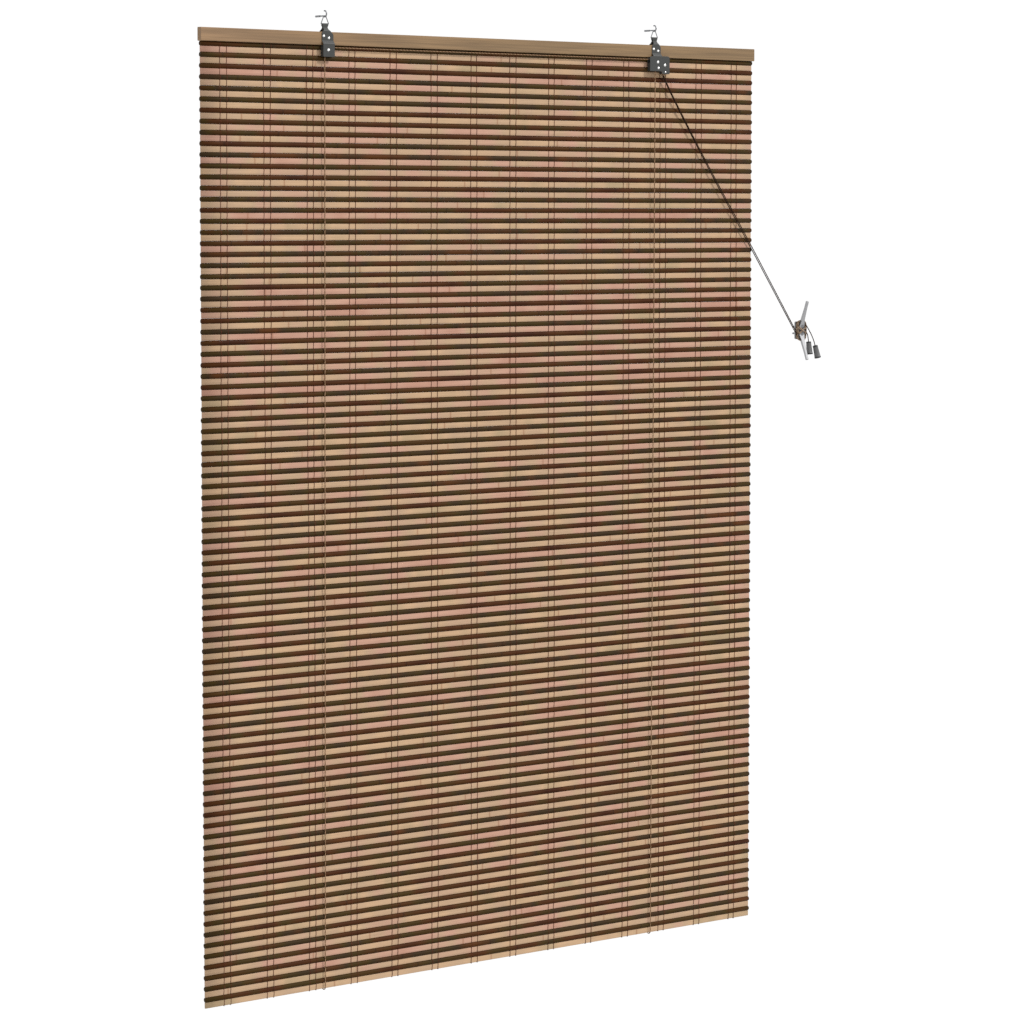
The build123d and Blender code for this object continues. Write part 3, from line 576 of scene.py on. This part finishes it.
ROUND = 4.3
cross_low, cross_high = node_box("crossing_cord")
lock_low, lock_high = node_box("lock_cord")
CROSS_DEPTH = -(cross_low[1] + cross_high[1]) / 2 - HANG
LOCK_DEPTH = -(lock_low[1] + lock_high[1]) / 2 - HANG
left_middle, right_middle = wheel_middle("left"), wheel_middle("right")
TOWARDS = (384.0, -97.0)
EXIT_Z = cross_low[2]
lead_x, lead_z = TOWARDS[0] - right_middle[0], TOWARDS[1] - right_middle[1]
lead = math.degrees(math.atan2(lead_z, lead_x)) - math.degrees(math.asin(ROUND / math.hypot(lead_x, lead_z)))
leave = lead + 90


def over_right(first, depth):
    """Over the right wheel and down past the lock roller."""
    turned = arc(right_middle, ROUND, first, leave, depth)
    last = turned[-1]
    drop = last[2] - EXIT_Z
    end = (last[0] + drop / math.tan(math.radians(-lead)), last[1], EXIT_Z)
    return np.concatenate([turned, [end]])


crossing = np.concatenate([arc(left_middle, ROUND, 180, 90, CROSS_DEPTH), over_right(90, CROSS_DEPTH)])
twisted("crossing_cord_twist", [crossing], CORD, 7, 1.4, lift_material, "blind", ["crossing_cord"])
twisted(
    "lock_cord_twist", [over_right(180, LOCK_DEPTH)], CORD, 7, 1.2, lift_material, "blind", ["lock_cord"]
)

for side, middle, depth in (("left", left_middle, CROSS_DEPTH), ("right", right_middle, LOCK_DEPTH)):
    low, high = node_box(f"{side}_front_cord")
    top = (high[0] - CORD, -(HANG + depth), middle[1])
    foot = (low[0] + CORD, -(HANG + STRAND_FRONT), last_low[2] + FOOT_RISE)
    strand = twisted(
        f"{side}_front_twist", [[top, foot]], CORD, 7.5, 1.4, lift_material, "blind", [f"{side}_front_cord"]
    )
    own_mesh(strand)
    low, high = node_box(f"{side}_back_cord")
    knot_x = low[0] + 2.6
    back_y = -(HANG - STRAND_BACK)
    ends = [(foot[0], back_y, low[2]), (knot_x, back_y, high[2] - 2.6)]
    twisted(f"{side}_back_twist", [ends], CORD, 7.5, 1.8, lift_material, "blind")
    knot = [
        (
            knot_x + 1.7 * math.cos(t) * math.cos(2.6 * t),
            back_y - 0.7 + 1.1 * math.sin(2.6 * t),
            high[2] - 2.6 + 1.7 * math.sin(t),
        )
        for t in np.linspace(0, 4 * math.pi, 60)
    ]
    twisted(f"{side}_back_knot", [knot], CORD, 6, 1.0, lift_material, "blind", [f"{side}_back_cord"])
    for row in range(1, CURLING + 1):
        top_z = UPPER_BOTTOM - (row - 1) * PITCH
        foot_z = top_z - PITCH
        if row < CURLING:
            paths = [[(foot[0], back_y, top_z), (foot[0], back_y, foot_z)]]
        else:
            front_y = foot[1]
            centre_y, centre_z = (back_y + front_y) / 2, last_low[2] + 3.4
            reach = (back_y - front_y) / 2
            turn = [
                (foot[0], centre_y + reach * math.cos(a), centre_z - reach * math.sin(a))
                for a in np.linspace(0, math.pi, 16)
            ]
            paths = [[(foot[0], back_y, top_z)] + turn + [foot]]
        replaced = [f"row_{row}_cords"] if side == "left" else []
        twisted(f"{side}_row_cord_{row}", paths, CORD, 7.5, 1.2, lift_material, f"row_{row}", replaced)

# ---- Pull cords, winding and tails
REAR_PULL = [
    (TOWARDS[0] * MM, -(HANG + CROSS_DEPTH) * MM, TOWARDS[1] * MM),
    (0.4930, -0.0179, -0.2555),
    (0.5940, -0.0173, -0.3920),
    (0.7135, -0.0105, -0.5515),
]
FRONT_PULL = [
    (TOWARDS[0] * MM, -(HANG + LOCK_DEPTH) * MM, TOWARDS[1] * MM),
    (0.4942, -0.0197, -0.2550),
    (0.5954, -0.0191, -0.3905),
    (0.7148, -0.0113, -0.5500),
]
OUTER_TAIL = [
    (0.7335, -0.0145, -0.5330),
    (0.7395, -0.0175, -0.5440),
    (0.7448, -0.0198, -0.5550),
    (0.7490, -0.0216, -0.5670),
    (0.7519, -0.0224, -0.5790),
]
INNER_TAIL = [
    (0.7365, -0.0095, -0.5430),
    (0.7393, -0.0115, -0.5485),
    (0.7406, -0.0128, -0.5560),
    (0.7413, -0.0135, -0.5640),
    (0.7418, -0.0140, -0.5720),
]


def smooth_path(points, resolution=24):
    """Points along the smooth line through a route's control points, read from a curve with no bevel."""
    curve = bpy.data.curves.new("route", "CURVE")
    curve.dimensions = "3D"
    spline = curve.splines.new("NURBS")
    spline.points.add(len(points) - 1)
    for point, place in zip(spline.points, points):
        point.co = (*place, 1.0)
    spline.order_u = 3
    spline.use_endpoint_u = True
    spline.resolution_u = resolution
    holder = bpy.data.objects.new("route", curve)
    mesh = bpy.data.meshes.new_from_object(holder)
    path = [tuple(vertex.co) for vertex in mesh.vertices]
    bpy.data.objects.remove(holder)
    bpy.data.meshes.remove(mesh)
    return path


exit_place = over_right(180, CROSS_DEPTH)[-1]
for name, points, node, depth in (
    ("rear_pull_twist", REAR_PULL, "rear_pull_cord", CROSS_DEPTH),
    ("front_pull_twist", FRONT_PULL, "front_pull_cord", LOCK_DEPTH),
):
    start = (exit_place[0] * MM, -(HANG + depth) * MM, exit_place[2] * MM)
    path = smooth_path([start] + points)
    cord = twisted(name, [np.array(path) / MM], CORD, 7, 1.3, pull_material, None, [node], fill=0.66)
    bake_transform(cord)

CLEAT_LOW, CLEAT_HIGH = node_box("cleat")
CLEAT_X = (CLEAT_LOW[0] + CLEAT_HIGH[0]) / 2
CLEAT_Z = (CLEAT_LOW[2] + CLEAT_HIGH[2]) / 2


def winding_points():
    """Figure-of-eight turns round the cleat's horns, then a last turn round its post, as control points."""
    points = []
    turns = 5
    for turn in range(turns):
        grow = turn * 0.55
        out = 4.4 + turn * 1.75
        half = 8.4 + grow
        points += [
            (CLEAT_X - half, -out, CLEAT_Z - 9.5 - grow),
            (CLEAT_X - half + 2.0, -out - 0.3, CLEAT_Z - 15.5 - grow),
            (CLEAT_X + 0.5, -out + 0.2, CLEAT_Z - 18.2 - grow * 0.8),
            (CLEAT_X + half - 1.5, -out - 0.2, CLEAT_Z - 14.5 - grow),
            (CLEAT_X + half, -out - 0.6, CLEAT_Z - 7.0),
            (CLEAT_X + half, -out - 0.9, CLEAT_Z + 7.0),
            (CLEAT_X + half - 1.5, -out - 0.3, CLEAT_Z + 14.5 + grow),
            (CLEAT_X - 0.5, -out + 0.4, CLEAT_Z + 18.2 + grow * 0.8),
            (CLEAT_X - half + 1.5, -out - 0.2, CLEAT_Z + 14.5 + grow),
            (CLEAT_X - half, -out - 0.9, CLEAT_Z + 7.0),
        ]
    for turn, lift in enumerate((0.0, 1.9, 3.6)):
        out = 14.0 + 0.6 * turn
        points += [
            (CLEAT_X - 9.5, -out + 1.5, CLEAT_Z - 9.0 + lift),
            (CLEAT_X, -out - 1.6, CLEAT_Z + 0.5 + lift * 0.6),
            (CLEAT_X + 10.0, -out + 1.8, CLEAT_Z + 8.5 - lift),
            (CLEAT_X + 12.5, -out + 5.5, CLEAT_Z + 2.0 - lift),
            (CLEAT_X + 10.0, -out + 1.8, CLEAT_Z - 7.5 + lift),
            (CLEAT_X, -out - 1.8, CLEAT_Z + 0.2 - lift * 0.5),
            (CLEAT_X - 9.5, -out + 1.5, CLEAT_Z + 8.5 - lift),
            (CLEAT_X - 12.5, -out + 5.5, CLEAT_Z),
        ]
    return [(x * MM, y * MM, z * MM) for x, y, z in points]


wound = smooth_path(winding_points(), 8)
winding = twisted(
    "winding_twist", [np.array(wound) / MM], CORD, 7, 1.3, wound_material, "wall", ["cleat_winding"]
)


def bell(name, tail, node):
    """Tapered cord end with a dark rim at its mouth and a collar at its top; its body between them is lighter grey, the
    end's own dark grey with a painted highlight over it.
    """
    before, last = Vector(tail[-2]), Vector(tail[-1])
    run = (last - before).normalized()
    seat = last - run * 0.0075
    # Third value 1 marks the body's rings, which get the lighter grey with its painted highlight; 0 marks the black
    # rim, collar and bore.
    profile = [
        (0.0, 1.15, 0), (0.0, 3.6, 0), (0.4, 4.4, 0), (1.2, 4.75, 0), (2.6, 4.8, 1), (3.0, 4.72, 1), (12.0, 5.2, 1),
        (21.0, 5.72, 1), (21.4, 6.0, 0), (22.4, 6.12, 0), (23.6, 6.05, 0), (24.0, 5.75, 0), (24.0, 4.7, 0),
        (22.0, 4.45, 0), (4.2, 3.15, 0), (4.2, 1.15, 0),
    ]
    sides = 36
    turn = run.to_track_quat("Z", "X")
    vertices, faces, kinds = [], [], []
    for along, radius, _ in profile:
        for index in range(sides):
            angle = 2 * math.pi * index / sides
            local = Vector((radius * MM * math.cos(angle), radius * MM * math.sin(angle), along * MM))
            vertices.append(tuple(seat + turn @ local))
    for ring in range(len(profile)):
        following = (ring + 1) % len(profile)
        for index in range(sides):
            after = (index + 1) % sides
            here, there = ring * sides, following * sides
            faces.append((here + index, here + after, there + after, there + index))
            kinds.append(1 if profile[ring][2] and profile[following][2] else 0)
    made = build(name, np.array(vertices), faces, black_plastic, "wall")
    # The body's faces take the lighter grey: a painted highlight on the dark glossy end.
    made.data.materials.append(painted_highlight_grey)
    made.data.polygons.foreach_set("material_index", kinds)
    made.data.set_sharp_from_angle(angle=math.radians(40))
    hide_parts(node)
    return made


for label, tail in (("inner", INNER_TAIL), ("outer", OUTER_TAIL)):
    path = smooth_path(tail)
    cord = twisted(
        f"{label}_tail_twist", [np.array(path) / MM], CORD, 7, 0.9, pull_material, "wall", [f"{label}_tail"]
    )
    end = bell(f"{label}_bell", tail, f"{label}_cord_end")

# ---- CAD pieces that stay: their finishes
FINISHES = {
    "headrail": rail_material,
    "cleat": nickel,
    "cleat_screws": steel,
    "staples": steel,
    "lock_axle": bright,
    "lock_roller": steel,
    "guide_wheel": black_plastic,
}
for side in ("left", "right"):
    FINISHES[f"{side}_hook"] = steel
    FINISHES[f"{side}_ring"] = steel
    FINISHES[f"{side}_bracket"] = charcoal
    FINISHES[f"{side}_wheel_plate"] = charcoal
    FINISHES[f"{side}_rivets"] = bright
    FINISHES[f"{side}_wheel"] = black_plastic
FINISHES["left_axle"] = bright
FINISHES["right_axles"] = bright
for node, material in FINISHES.items():
    for index in range(len(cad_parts[node].material_slots)):
        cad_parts[node].material_slots[index].material = material

# ---- Light and camera
world = bpy.data.worlds.new("white")
world.use_nodes = True
world.node_tree.nodes["Background"].inputs["Color"].default_value = (1, 1, 1, 1)
world.node_tree.nodes["Background"].inputs["Strength"].default_value = 1.02
bpy.context.scene.world = world


sun_data = bpy.data.lights.new("sun", "SUN")
sun_data.energy = 3.0
sun_data.angle = math.radians(9)
sun = bpy.data.objects.new("sun", sun_data)
sun.rotation_euler = Vector((-0.38, 0.6, -0.7)).to_track_quat("-Z", "Y").to_euler()
bpy.context.collection.objects.link(sun)

camera_data = bpy.data.cameras.new("camera")
camera_data.sensor_width = 36.0
camera_data.lens = 119.977
camera_data.shift_y = -0.10
camera_data.clip_end = 100.0
camera = bpy.data.objects.new("camera", camera_data)
camera.location = (-3.64735, -4.64751, -0.32766)
heading, pitch = math.radians(38.474), math.radians(3.27670)
look = Vector((math.sin(heading) * math.cos(pitch), math.cos(heading) * math.cos(pitch), -math.sin(pitch)))
camera.rotation_euler = look.to_track_quat("-Z", "Y").to_euler()
bpy.context.collection.objects.link(camera)
bpy.context.scene.camera = camera

scene = bpy.context.scene
scene.render.engine = "CYCLES"
scene.cycles.samples = 160
scene.cycles.use_denoising = False
scene.render.resolution_x = 1024
scene.render.resolution_y = 1024
scene.view_settings.view_transform = "Standard"

write_size()
